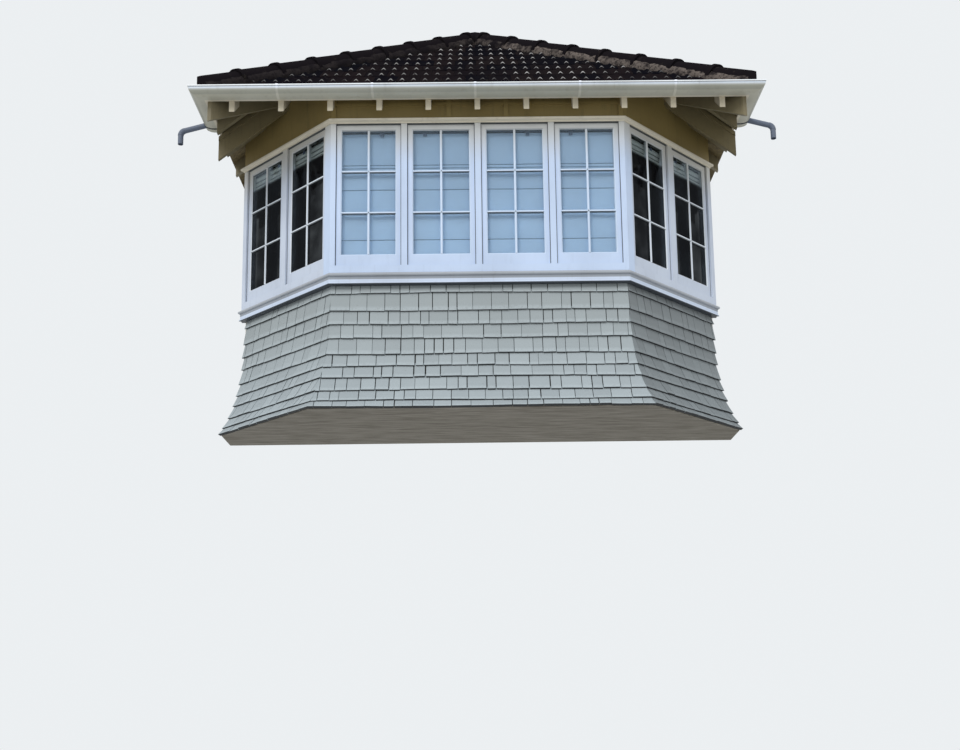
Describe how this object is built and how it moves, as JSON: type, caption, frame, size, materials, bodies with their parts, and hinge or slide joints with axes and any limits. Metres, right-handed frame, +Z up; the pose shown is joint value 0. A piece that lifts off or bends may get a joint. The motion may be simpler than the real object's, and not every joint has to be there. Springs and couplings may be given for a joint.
{
  "type": "bay window",
  "caption": "Canted upper bay window with casement sashes, a moulded sill, a flared shingled apron and a hipped, tiled hood with its gutter, cut off at the wall.",
  "frame": {"origin": "middle of the back face of the ledger that fixes the bay's floor to the wall", "axes": "+Z up, +Y into the house along the wall's normal, +X to the right of someone who looks at the window from outside; the bay stands out towards -Y"},
  "size_m": [5.7472, 2.8422, 5.1703],
  "materials": {
    "white_paint": "old brushed gloss paint, white",
    "cream_paint": "old brushed paint, cream",
    "ochre_paint": "old brushed paint, ochre brown",
    "gutter_paint": "satin white, a little dirty",
    "pipe_paint": "matt grey",
    "shingle": "cut shingles under old cream-grey paint",
    "roof_board": "sawn boards",
    "roof_tile": "fired clay, dark and weathered",
    "framing_timber": "sawn softwood",
    "floor_timber": "planed boards",
    "lining": "boards lined and painted inside",
    "window_glass": "clear"
  },
  "bodies": {
    "root": {"wall_ledger": "framing_timber", "floor_boards": "floor_timber", "front_apron_wall": "lining", "left_apron_wall": "lining", "right_apron_wall": "lining", "front_skirt": "shingle", "left_skirt": "shingle", "right_skirt": "shingle", "left_skirt_end": "framing_timber", "right_skirt_end": "framing_timber", "skirt_soffit": "framing_timber", "window_sill": "white_paint", "front_window_frame": "white_paint", "left_window_frame": "white_paint", "right_window_frame": "white_paint", "left_corner_post": "white_paint", "right_corner_post": "white_paint", "front_sash_1": "white_paint", "front_sash_2": "white_paint", "front_sash_3": "white_paint", "front_sash_4": "white_paint", "left_sash_1": "white_paint", "left_sash_2": "white_paint", "right_sash_1": "white_paint", "right_sash_2": "white_paint", "glass_panes": "window_glass", "head_mould": "cream_paint", "front_frieze": "ochre_paint", "left_frieze": "ochre_paint", "right_frieze": "ochre_paint", "bay_ceiling": "lining", "front_rafters": "cream_paint", "left_rafters": "cream_paint", "right_rafters": "cream_paint", "left_hip_rafter": "cream_paint", "right_hip_rafter": "cream_paint", "ridge_board": "cream_paint", "front_roof_boards": "roof_board", "left_roof_boards": "roof_board", "right_roof_boards": "roof_board", "front_roof_tiles": "roof_tile", "left_roof_tiles": "roof_tile", "right_roof_tiles": "roof_tile", "left_hip_capping": "roof_tile", "right_hip_capping": "roof_tile", "ridge_capping": "roof_tile", "fascia": "cream_paint", "eaves_gutter": "gutter_paint", "left_verge_board": "cream_paint", "right_verge_board": "cream_paint", "left_spreader_pipe": "pipe_paint", "right_spreader_pipe": "pipe_paint"}
  },
  "joints": []
}
